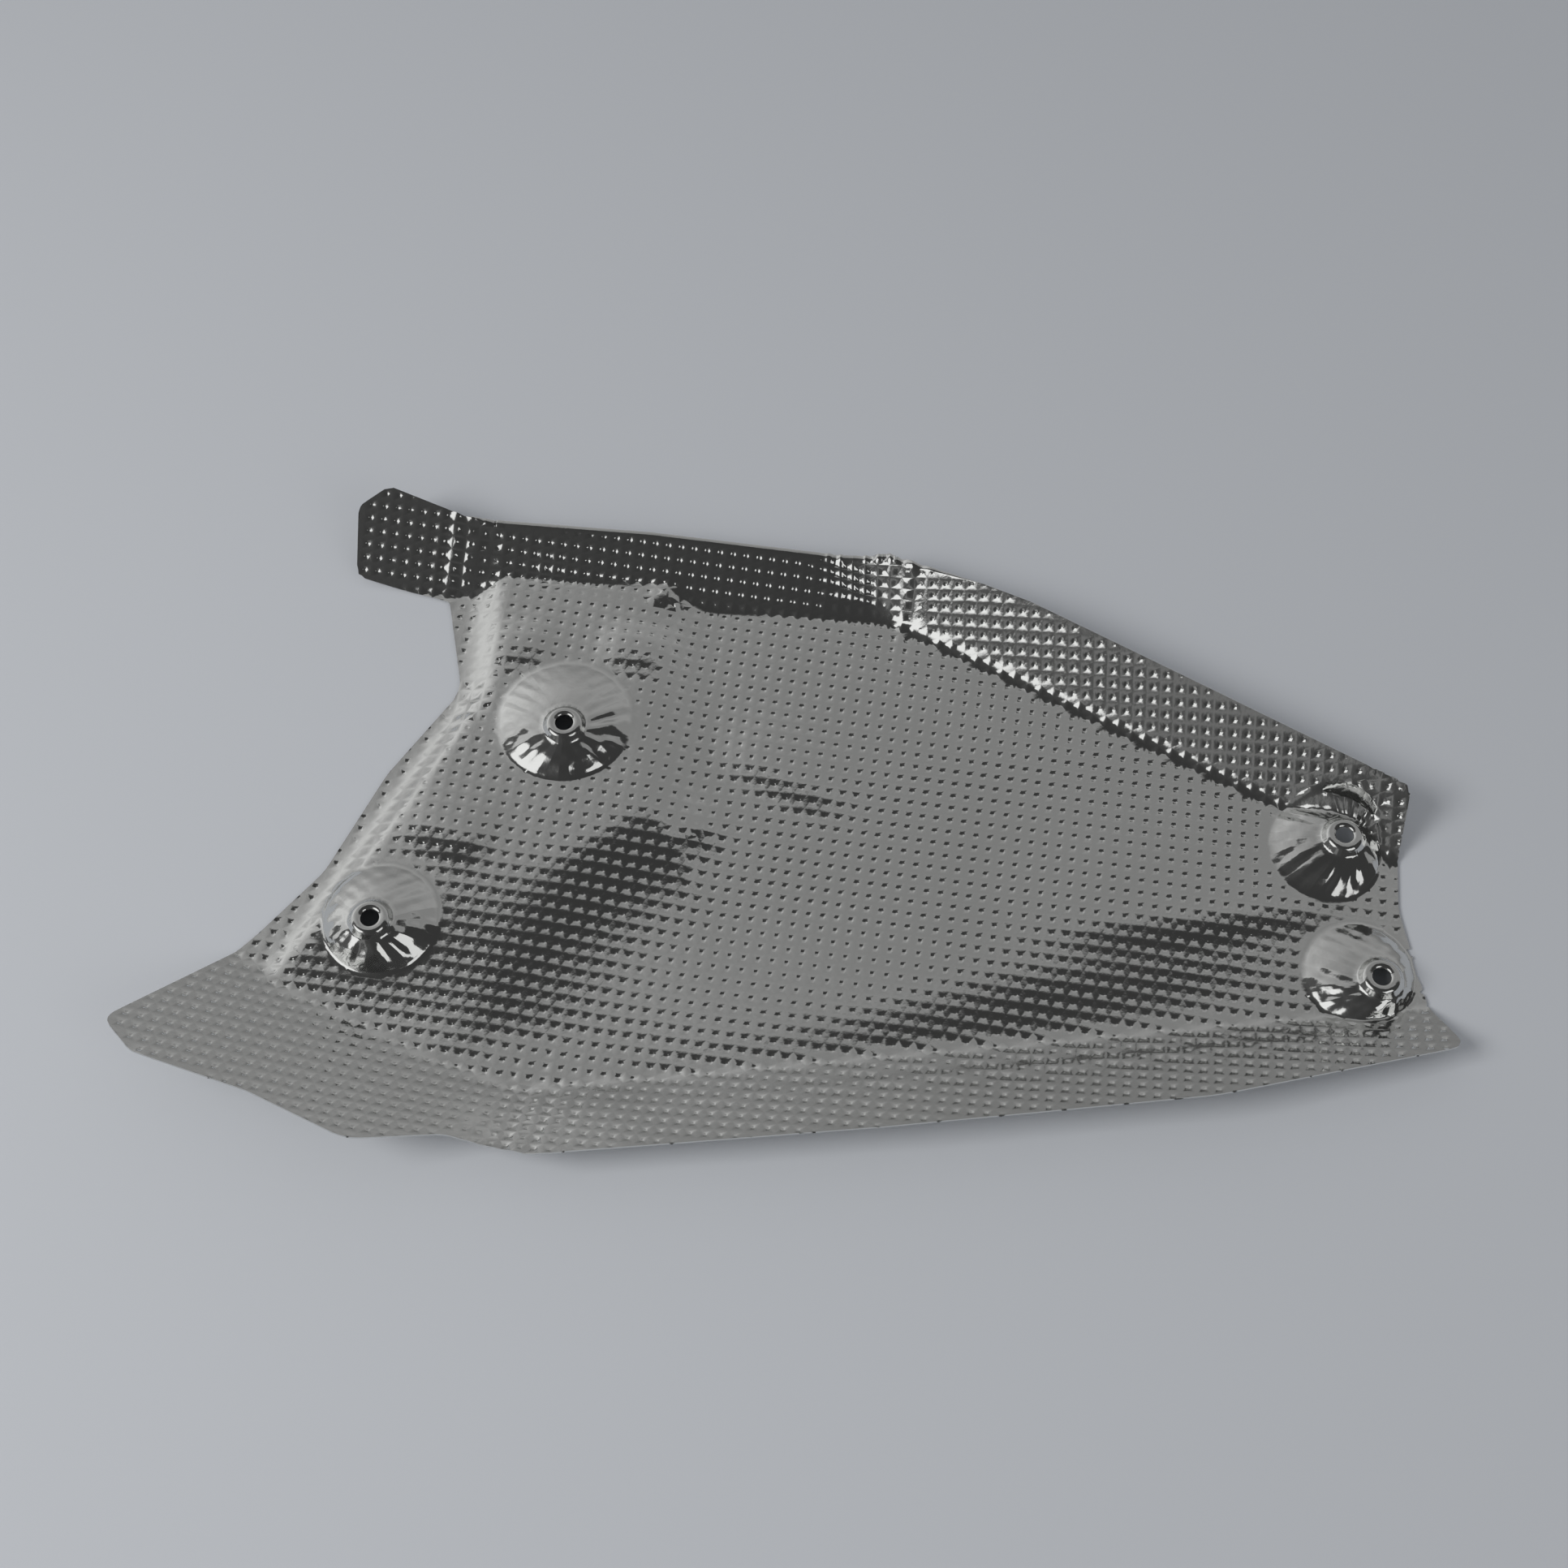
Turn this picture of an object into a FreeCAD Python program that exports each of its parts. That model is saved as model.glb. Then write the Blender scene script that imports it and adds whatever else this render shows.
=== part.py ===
"""Pressed aluminium heat shield for the inside of a motorbike fairing.

One thin sheet is pressed between two halves of a form.  The form has a flat floor, four flanges
that rise from fold lines, a raised deck on the left and four hollow mounting bosses.  The sheet
is what lies between the form and the same form moved down by the gauge, trimmed to an outline,
with one fixing hole through each boss.  Lengths are in millimetres, angles in degrees.  X runs
along the shield, Y away from the viewer and Z up, with the underside of the floor at Z = 0.
"""
import FreeCAD
import Part
import os
import Sketcher
from FreeCAD import Vector

NODE = "heat_shield"

SIZES = {
    # sheet, folds and corners
    "gauge": 0.7,
    "fold_round": 5.0,
    "neck_bevel": 1.0,
    "corner_round": 3.0,
    # raised deck: its rise, the run of its slopes and its plan corners
    "deck_rise": 4.0,
    "deck_slope_run": 13.0,
    "deck_nose_run": 2.7,
    "deck_edge_run": 8.0,
    "deck_right_x": -39.5,
    "deck_nose_y": 10.5,
    "deck_toe_x": -91.5,
    "deck_toe_y": -108.5,
    "deck_heel_x": -170.5,
    "deck_heel_y": -108.5,
    "deck_waist_x": -88.5,
    "deck_waist_y": 42.0,
    "deck_left_x": -87.0,
    # mounting bosses: a wide skirt, a short neck and a fixing hole
    "skirt_rise": 5.0,
    "neck_radius": 6.5,
    "neck_top_radius": 5.0,
    "neck_rise": 2.5,
    "hole_radius": 2.5,
}

# Flanges: a point on the fold line, the heading of the fold and the angle it is bent up by.
FLANGES = {
    "wall": {"fold_x": -1.5, "fold_y": 71.0, "heading": -4.2, "bend": 35.0},
    "shoulder": {"fold_x": 86.5, "fold_y": 36.5, "heading": -29.8, "bend": 50.0},
    "front": {"fold_x": 39.5, "fold_y": -72.5, "heading": 185.7, "bend": 30.0},
    "flap": {"fold_x": -81.5, "fold_y": -79.5, "heading": 153.0, "bend": 28.0},
}

# Bosses: the skirt circle and the neck, which stands off centre where the panel leans.
BOSSES = {
    "deck_boss": {
        "skirt_x": -66.0,
        "skirt_y": 31.0,
        "skirt_radius": 20.0,
        "neck_x": -65.5,
        "neck_y": 26.0,
    },
    "heel_boss": {
        "skirt_x": -114.5,
        "skirt_y": -33.5,
        "skirt_radius": 16.5,
        "neck_x": -116.0,
        "neck_y": -37.0,
    },
    "shoulder_boss": {
        "skirt_x": 153.0,
        "skirt_y": -10.5,
        "skirt_radius": 16.5,
        "neck_x": 158.0,
        "neck_y": -9.0,
    },
    "corner_boss": {
        "skirt_x": 158.0,
        "skirt_y": -49.0,
        "skirt_radius": 15.5,
        "neck_x": 162.5,
        "neck_y": -53.0,
    },
}
ON_DECK = ("deck_boss", "heel_boss")

# Corners of the trimmed outline in plan, clockwise from the top of the tab.
OUTLINE = {
    "tab_peak": (-122.5, 106.5),
    "tab_root": (-99.5, 98.5),
    "wall_mid": (-42.5, 93.5),
    "crest": (30.5, 84.5),
    "shoulder_high": (71.5, 63.5),
    "shoulder_end": (176.5, 1.5),
    "right_mid": (172.5, -29.5),
    "right_low": (176.5, -59.5),
    "right_tip": (182.5, -74.5),
    "front_right": (112.5, -90.5),
    "front_mid": (24.5, -99.5),
    "front_end": (-67.5, -106.5),
    "flap_notch": (-90.5, -100.5),
    "flap_low": (-114.5, -104.5),
    "flap_mid": (-141.5, -91.5),
    "flap_turn": (-172.5, -81.5),
    "flap_tip": (-182.5, -70.5),
    "heel": (-149.5, -36.5),
    "left_low": (-133.0, -17.0),
    "left_mid": (-118.0, 15.0),
    "waist": (-98.5, 43.5),
    "tab_foot": (-104.5, 75.5),
    "tab_low": (-133.5, 83.5),
    "tab_top": (-132.5, 101.5),
}

LENGTH = "(Sizes.right_tip_x - Sizes.flap_tip_x)"
DEPTH = "(Sizes.tab_peak_y - Sizes.front_end_y)"
DIE_HEIGHT = f"{LENGTH} * 0.2"


def fill_sheet(doc):
    """Write every driving size into the spreadsheet, one named cell each."""
    sheet = doc.addObject("Spreadsheet::Sheet", "Sizes")
    rows = dict(SIZES)
    for group in (FLANGES, BOSSES):
        for name, sizes in group.items():
            rows.update({f"{name}_{key}": value for key, value in sizes.items()})
    for name, (x, y) in OUTLINE.items():
        rows[f"{name}_x"] = x
        rows[f"{name}_y"] = y
    for row, (alias, value) in enumerate(rows.items(), start=1):
        sheet.set(f"A{row}", alias)
        sheet.set(f"B{row}", str(value))
        sheet.setAlias(f"B{row}", alias)
    doc.recompute()
    return sheet


def bind(obj, **expressions):
    """Tie properties of an object to expressions on the sheet."""
    for prop, expression in expressions.items():
        obj.setExpression(prop.replace("__", "."), expression)


def origin_plane(body, role):
    """Return the body's own base plane with the given role."""
    return next(item for item in body.Origin.OriginFeatures if item.Role == role)


def add_polygon(body, name, corners, level="0"):
    """Draw a closed polygon whose corners are pairs of sheet expressions, at a level above XY."""
    sketch = body.newObject("Sketcher::SketchObject", name)
    sketch.AttachmentSupport = [(origin_plane(body, "XY_Plane"), "")]
    sketch.MapMode = "FlatFace"
    bind(sketch, AttachmentOffset__Base__z=level)
    count = len(corners)
    start = [Vector(sketch.evalExpression(x), sketch.evalExpression(y), 0) for x, y in corners]
    for index in range(count):
        sketch.addGeometry(Part.LineSegment(start[index], start[(index + 1) % count]), False)
    for index in range(count):
        sketch.addConstraint(Sketcher.Constraint("Coincident", index, 2, (index + 1) % count, 1))
    for index, (x, y) in enumerate(corners):
        for kind, value, expression in (("DistanceX", start[index].x, x), ("DistanceY", start[index].y, y)):
            number = sketch.addConstraint(Sketcher.Constraint(kind, -1, 1, index, 1, value))
            sketch.setExpression(f"Constraints[{number}]", expression)
    return sketch


def add_circle(body, name, x, y, radius, level):
    """Draw one circle at a level above XY, from sheet expressions."""
    sketch = body.newObject("Sketcher::SketchObject", name)
    sketch.AttachmentSupport = [(origin_plane(body, "XY_Plane"), "")]
    sketch.MapMode = "FlatFace"
    bind(sketch, AttachmentOffset__Base__z=level)
    values = [float(sketch.evalExpression(item)) for item in (x, y, radius)]
    sketch.addGeometry(Part.Circle(Vector(values[0], values[1], 0), Vector(0, 0, 1), values[2]), False)
    for kind, value, expression in (("DistanceX", values[0], x), ("DistanceY", values[1], y)):
        number = sketch.addConstraint(Sketcher.Constraint(kind, -1, 1, 0, 3, value))
        sketch.setExpression(f"Constraints[{number}]", expression)
    number = sketch.addConstraint(Sketcher.Constraint("Radius", 0, values[2]))
    sketch.setExpression(f"Constraints[{number}]", radius)
    return sketch


def add_block(body):
    """Add the block that the form is cut from, its base one gauge above the floor's underside."""
    block = body.newObject("PartDesign::AdditiveBox", "block")
    bind(block, Length=f"{LENGTH} * 1.6", Width=f"{DEPTH} * 1.8", Height=DIE_HEIGHT)
    bind(block, Placement__Base__x=f"Sizes.flap_tip_x - {LENGTH} * 0.3")
    bind(block, Placement__Base__y=f"Sizes.front_end_y - {DEPTH} * 0.4")
    bind(block, Placement__Base__z="Sizes.gauge")
    return block


def cut_flange(body, name):
    """Cut the block along the plane of one flange, hinged on its fold line."""
    size = f"Sizes.{name}_"
    reach = f"{LENGTH} * 1.2"
    wedge = body.newObject("PartDesign::SubtractiveBox", f"{name}_plane")
    bind(wedge, Length=f"{reach} * 2", Width=f"{DIE_HEIGHT} * 4", Height=f"{DEPTH} * 2")
    x = f"{size}fold_x - {reach} * cos({size}heading)"
    y = f"{size}fold_y - {reach} * sin({size}heading)"
    spot = f"create(<<vector>>; {x}; {y}; Sizes.gauge)"
    turn = f"create(<<rotation>>; {size}heading; 0; {size}bend - 90)"
    bind(wedge, Placement=f"create(<<placement>>; {spot}; {turn})")


def cut_deck(body):
    """Raise the left part of the floor to a deck with sloped sides."""
    back = f"Sizes.wall_fold_y + {DEPTH} * 0.4"
    top = [
        ("Sizes.deck_right_x", back),
        ("Sizes.deck_right_x", "Sizes.deck_nose_y"),
        ("Sizes.deck_toe_x", "Sizes.deck_toe_y"),
        ("Sizes.deck_heel_x", "Sizes.deck_heel_y"),
        ("Sizes.deck_waist_x", "Sizes.deck_waist_y"),
        ("Sizes.deck_left_x", back),
    ]
    low = [(f"{x} + Sizes.deck_slope_run", f"{y} - Sizes.deck_nose_run") for x, y in top[:3]]
    low += [(f"{x} - Sizes.deck_edge_run", y) for x, y in top[3:]]
    foot = add_polygon(body, "deck_foot", low, "Sizes.gauge")
    rim = add_polygon(body, "deck_rim", top, "Sizes.gauge + Sizes.deck_rise")
    deck = body.newObject("PartDesign::SubtractiveLoft", "deck")
    deck.Profile = foot
    deck.Sections = [rim]
    deck.Ruled = True
    return deck


def round_folds(body, last):
    """Round every fold and deck edge, leaving the edges of the block itself."""
    box = last.Shape.BoundBox
    sides = ((0, box.XMin), (0, box.XMax), (1, box.YMin), (1, box.YMax), (2, box.ZMax))
    names = []
    for number, edge in enumerate(last.Shape.Edges, start=1):
        centre = edge.CenterOfMass
        if all(abs(centre[axis] - limit) > 0.01 for axis, limit in sides):
            names.append(f"Edge{number}")
    fillet = body.newObject("PartDesign::Fillet", "folds")
    fillet.Base = (last, names)
    bind(fillet, Radius="Sizes.fold_round")
    return fillet


def cut_boss(body, name):
    """Sink one boss into the form: a skirt from the panel to the neck, then the neck."""
    size = f"Sizes.{name}_"
    base = "Sizes.gauge + Sizes.deck_rise" if name in ON_DECK else "Sizes.gauge"
    foot = add_circle(body, f"{name}_foot", f"{size}skirt_x", f"{size}skirt_y", f"{size}skirt_radius", base)
    collar_level = f"{base} + Sizes.skirt_rise"
    spot = (f"{size}neck_x", f"{size}neck_y")
    collar = add_circle(body, f"{name}_collar", *spot, "Sizes.neck_radius", collar_level)
    skirt = body.newObject("PartDesign::SubtractiveLoft", f"{name}_skirt")
    skirt.Profile = foot
    skirt.Sections = [collar]
    skirt.Ruled = True
    neck = body.newObject("PartDesign::SubtractiveCone", f"{name}_neck")
    bind(neck, Radius1="Sizes.neck_radius", Radius2="Sizes.neck_top_radius", Height="Sizes.neck_rise")
    bind(neck, Placement__Base__x=spot[0], Placement__Base__y=spot[1], Placement__Base__z=collar_level)
    return neck


def bevel_necks(body, last, sheet):
    """Bevel the top ring of every boss neck."""
    centres = [Vector(sheet.get(f"{name}_neck_x"), sheet.get(f"{name}_neck_y"), 0) for name in BOSSES]
    names = []
    for number, edge in enumerate(last.Shape.Edges, start=1):
        box = edge.BoundBox
        middle = Vector(box.Center.x, box.Center.y, 0)
        on_axis = any((middle - centre).Length < 0.01 for centre in centres)
        if on_axis and box.ZLength < 0.01 and abs(box.XLength - 2 * sheet.neck_top_radius) < 0.01:
            names.append(f"Edge{number}")
    bevel = body.newObject("PartDesign::Chamfer", "neck_rings")
    bevel.Base = (last, names)
    bind(bevel, Size="Sizes.neck_bevel")
    return bevel


def build_form(doc, sheet):
    """Build the press form whose lower side is the upper face of the sheet."""
    body = doc.addObject("PartDesign::Body", "press_form")
    add_block(body)
    for name in FLANGES:
        cut_flange(body, name)
    deck = cut_deck(body)
    doc.recompute()
    round_folds(body, deck)
    for name in BOSSES:
        last = cut_boss(body, name)
    doc.recompute()
    body.Tip = bevel_necks(body, last, sheet)
    doc.recompute()
    return body


def build_blank(doc):
    """Build the trimming tool: the outline with rounded corners, as deep as the form."""
    body = doc.addObject("PartDesign::Body", "trim_tool")
    corners = [(f"Sizes.{name}_x", f"Sizes.{name}_y") for name in OUTLINE]
    outline = add_polygon(body, "outline", corners, "-Sizes.gauge")
    pad = body.newObject("PartDesign::Pad", "outline_depth")
    pad.Profile = outline
    bind(pad, Length=f"{DIE_HEIGHT} * 0.8")
    doc.recompute()
    upright = [
        f"Edge{number}"
        for number, edge in enumerate(pad.Shape.Edges, start=1)
        if abs(edge.BoundBox.ZLength - edge.Length) < 0.01
    ]
    fillet = body.newObject("PartDesign::Fillet", "outline_corners")
    fillet.Base = (pad, upright)
    bind(fillet, Radius="Sizes.corner_round")
    body.Tip = fillet
    doc.recompute()
    return body


def build_sheet(doc, form, blank):
    """Press and trim the sheet, then pierce one hole through each boss."""
    lower = doc.addObject("Part::Compound", "lower_form")
    lower.Links = [form]
    bind(lower, Placement__Base__z="-Sizes.gauge")
    kept = doc.addObject("Part::Common", "above_underside")
    kept.Base = blank
    kept.Tool = lower
    pressed = doc.addObject("Part::Cut", "pressed_sheet")
    pressed.Base = kept
    pressed.Tool = form
    punches = doc.addObject("Part::MultiFuse", "hole_punches")
    pins = []
    for name in BOSSES:
        pin = doc.addObject("Part::Cylinder", f"{name}_hole")
        bind(pin, Radius="Sizes.hole_radius", Height=DIE_HEIGHT)
        bind(pin, Placement__Base__x=f"Sizes.{name}_neck_x", Placement__Base__y=f"Sizes.{name}_neck_y")
        pins.append(pin)
    punches.Shapes = pins
    shield = doc.addObject("Part::Cut", NODE)
    shield.Label = NODE
    shield.Base = pressed
    shield.Tool = punches
    doc.recompute()
    return shield


def check(doc):
    """Stop if any object failed to build."""
    for obj in doc.Objects:
        if "Invalid" in obj.State or "Error" in obj.State:
            raise RuntimeError(f"{obj.Name} did not build: {obj.State}")
        shape = getattr(obj, "Shape", None)
        if shape is not None and obj.isDerivedFrom("Part::Feature"):
            if shape.isNull() or not shape.isValid():
                raise RuntimeError(f"{obj.Name} has no valid shape")


def main():
    """Build the shield and write its STEP file."""
    doc = FreeCAD.newDocument("heat_shield")
    sheet = fill_sheet(doc)
    form = build_form(doc, sheet)
    blank = build_blank(doc)
    shield = build_sheet(doc, form, blank)
    check(doc)
    os.makedirs("parts", exist_ok=True)
    shield.Shape.exportStep(f"parts/{NODE}.step")
    print(f"{NODE}: {len(shield.Shape.Solids)} solid, {shield.Shape.Volume:.1f} cubic mm")


main()
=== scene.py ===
"""Dressed model of a pressed, embossed aluminium heat shield for the inside of a motorbike fairing.

Sizes are in millimetres until a mesh is written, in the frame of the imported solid: X along the
shield, Y towards the tall back wall, Z up, with the floor's underside at Z = 0.
"""
from __future__ import annotations

import logging
import math
from dataclasses import dataclass, field
from enum import Enum
from typing import Dict, List, Sequence, Tuple

import bpy
import numpy as np
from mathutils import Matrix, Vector

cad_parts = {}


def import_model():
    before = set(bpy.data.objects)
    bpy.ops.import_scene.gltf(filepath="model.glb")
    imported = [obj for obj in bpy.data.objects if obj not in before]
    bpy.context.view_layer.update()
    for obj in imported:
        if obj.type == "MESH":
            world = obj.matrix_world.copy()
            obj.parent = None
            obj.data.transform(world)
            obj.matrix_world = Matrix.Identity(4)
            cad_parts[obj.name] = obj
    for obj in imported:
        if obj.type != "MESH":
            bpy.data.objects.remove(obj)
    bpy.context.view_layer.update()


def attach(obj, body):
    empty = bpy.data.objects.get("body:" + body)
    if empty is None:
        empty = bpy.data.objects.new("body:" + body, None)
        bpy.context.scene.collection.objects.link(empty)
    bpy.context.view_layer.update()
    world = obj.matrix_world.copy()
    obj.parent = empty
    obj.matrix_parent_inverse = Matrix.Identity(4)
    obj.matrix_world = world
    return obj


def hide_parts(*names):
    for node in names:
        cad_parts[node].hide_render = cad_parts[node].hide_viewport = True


LOG = logging.getLogger("heat_shield")
MM = 0.001
Array = np.ndarray
Point = Tuple[float, float]


class Level(Enum):
    """The part of the pressing that a boss stands on."""

    FLOOR = "floor"
    DECK = "deck"


class Change(Enum):
    """How a level changes over a range of a value."""

    EVEN = "LINEAR"
    SOFT = "SMOOTHSTEP"


def along_across(plan: Array, centre: Point, heading: float) -> Tuple[Array, Array]:
    """Measure points along and across a heading.

    Args:
        plan: Points in plan, one row each.
        centre: Point that both measures start from.
        heading: Direction in degrees.

    Returns:
        Distances along the heading and to its left.
    """
    angle = math.radians(heading)
    run = np.array([math.cos(angle), math.sin(angle)])
    offset = plan - np.array(centre)
    return offset @ run, offset @ np.array([-run[1], run[0]])


def spread(plan: Array, centre: Point, wide: float, deep: float) -> Array:
    """Offsets of points from a centre, as shares of a width and a depth."""
    return (plan - np.array(centre)) / np.array([wide, deep])


def soft_step(part: Array) -> Array:
    """Soft change from zero to one as a share goes from zero to one."""
    part = np.clip(part, 0.0, 1.0)
    return part * part * (3.0 - 2.0 * part)


def map_range(
    tree: bpy.types.NodeTree, value: bpy.types.NodeSocket, span: Point, levels: Point, way: Change
) -> bpy.types.NodeSocket:
    """Change from one level to another over a range of a value.

    Args:
        tree: The tree that takes the node.
        value: The value that is followed.
        span: Where the change starts and ends.
        levels: The levels before and after it.
        way: How the level changes in between.

    Returns:
        The socket that holds the level.
    """
    node = tree.nodes.new("ShaderNodeMapRange")
    node.interpolation_type = way.value
    for name, level in zip(("From Min", "From Max", "To Min", "To Max"), span + levels):
        node.inputs[name].default_value = level
    tree.links.new(value, node.inputs["Value"])
    return node.outputs["Result"]


@dataclass(frozen=True)
class Flange:
    """A strip of sheet bent up along a straight fold."""

    name: str
    fold: Point
    heading: float
    bend: float
    fold_round: float = 5.0

    @property
    def outward(self) -> Array:
        """Unit vector in plan that points from the fold up the flange."""
        angle = math.radians(self.heading + 90.0)
        return np.array([math.cos(angle), math.sin(angle)])

    @property
    def stretch(self) -> float:
        """Extra sheet length for each millimetre of plan distance."""
        return 1.0 / math.cos(math.radians(self.bend)) - 1.0

    @property
    def blend(self) -> float:
        """Height range over which the fold is rounded."""
        half = self.fold_round * math.tan(math.radians(self.bend) / 2.0)
        return half * math.tan(math.radians(self.bend))

    def reach(self, plan: Array) -> Array:
        """Plan distance of points beyond the fold.

        Args:
            plan: Points in plan, one row each.

        Returns:
            Signed distances, positive on the flange.
        """
        return (plan - np.array(self.fold)) @ self.outward

    def rise(self, plan: Array) -> Array:
        """Height of the flange's plane over points in plan.

        Args:
            plan: Points in plan, one row each.

        Returns:
            Heights above the floor's upper face.
        """
        return self.reach(plan) * math.tan(math.radians(self.bend))


@dataclass(frozen=True)
class Boss:
    """A hollow mounting boss: a wide skirt, a short neck and a fixing hole."""

    name: str
    skirt: Point
    skirt_radius: float
    neck: Point
    level: Level
    creases: Tuple[float, ...]


@dataclass(frozen=True)
class Wrinkle:
    """A patch of gathered sheet: short parallel ridges that die away from a centre."""

    centre: Point
    heading: float
    spacing: float
    height: float
    along: float
    across: float
    phase: float = 0.0
    waver: float = 0.35
    waver_rate: float = 0.4

    def lift(self, plan: Array) -> Array:
        """Height that the wrinkle adds.

        Args:
            plan: Points in plan, one row each.

        Returns:
            Heights in millimetres.
        """
        along, across = along_across(plan, self.centre, self.heading)
        waver = self.waver * np.sin(along * self.waver_rate)
        wave = np.sin(2.0 * math.pi * across / self.spacing + self.phase + waver)
        return self.height * wave * np.exp(-((along / self.along) ** 2) - (across / self.across) ** 2)


@dataclass(frozen=True)
class Step:
    """A soft step in a panel: the sheet on the left of its line stands higher and sinks back slowly."""

    centre: Point
    heading: float
    height: float
    half_width: float
    along: float
    tail: float

    def lift(self, plan: Array) -> Array:
        """Height that the step adds.

        Args:
            plan: Points in plan, one row each.

        Returns:
            Heights in millimetres, never negative.
        """
        along, across = along_across(plan, self.centre, self.heading)
        climb = soft_step(0.5 + 0.5 * across / self.half_width)
        sink = soft_step(1.0 - (across - self.half_width) / self.tail)
        return self.height * climb * sink * np.exp(-((along / self.along) ** 4))


@dataclass(frozen=True)
class Swelling:
    """A round swelling of the sheet, which may flatten the dents on it."""

    centre: Point
    height: float
    wide: float
    deep: float
    flattens: bool = False

    def lift(self, plan: Array) -> Array:
        """Height in millimetres that the swelling adds to points in plan."""
        offset = spread(plan, self.centre, self.wide, self.deep)
        return self.height * np.exp(-np.einsum("ij,ij->i", offset, offset))


@dataclass(frozen=True)
class Crumple:
    """A patch of fine scattered creases, where the sheet was forced round a corner."""

    centre: Point
    height: float
    wide: float
    deep: float
    scatter: Tuple[float, float, float] = (12.9898, 78.233, 43758.5453)

    def lift(self, plan: Array) -> Array:
        """Height that the crumple adds.

        Args:
            plan: Points in plan, one row each.

        Returns:
            Heights in millimetres.
        """
        offset = spread(plan, self.centre, self.wide, self.deep)
        along, across, scale = self.scatter
        mix = np.sin(plan[:, 0] * along + plan[:, 1] * across) * scale
        throw = 2.0 * (mix - np.floor(mix)) - 1.0
        return self.height * throw * np.exp(-(np.einsum("ij,ij->i", offset, offset) ** 2))


def smooth_max(first: Array, second: Array, blend: float) -> Array:
    """Larger of two heights with a rounded change from one to the other.

    Args:
        first: Heights of the first surface.
        second: Heights of the second surface.
        blend: Height range of the rounding.

    Returns:
        The blended heights.
    """
    near = np.maximum(blend - np.abs(first - second), 0.0)
    return np.maximum(first, second) + near * near / (4.0 * blend)


@dataclass
class Lattice:
    """Square grid of round dents, embossed in the flat sheet before pressing."""

    pitch: float = 4.0
    turn: float = -8.6
    dent_radius: float = 1.1
    dent_floor: float = 0.58
    dent_depth: float = 0.38
    floor_share: float = 0.68
    sides: int = 6
    columns: Tuple[int, int] = (-54, 54)
    rows: Tuple[int, int] = (-38, 38)

    def place(self, cells: Array) -> Array:
        """Put lattice positions on the flat sheet.

        Args:
            cells: Positions in cells, one row each.

        Returns:
            Positions in millimetres.
        """
        across, along = self.axes()
        return self.pitch * (cells[:, :1] * across + cells[:, 1:] * along)

    def cell(self, flat: Array) -> Array:
        """Find the lattice positions of points on the flat sheet.

        Args:
            flat: Positions in millimetres, one row each.

        Returns:
            Positions in cells.
        """
        across, along = self.axes()
        return np.stack([flat @ across, flat @ along], axis=1) / self.pitch

    def axes(self) -> Tuple[Array, Array]:
        """Find the directions of the lattice.

        Returns:
            Unit vectors along the rows and the columns.
        """
        angle = math.radians(self.turn)
        across = np.array([math.cos(angle), math.sin(angle)])
        return across, np.array([-across[1], across[0]])


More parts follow.
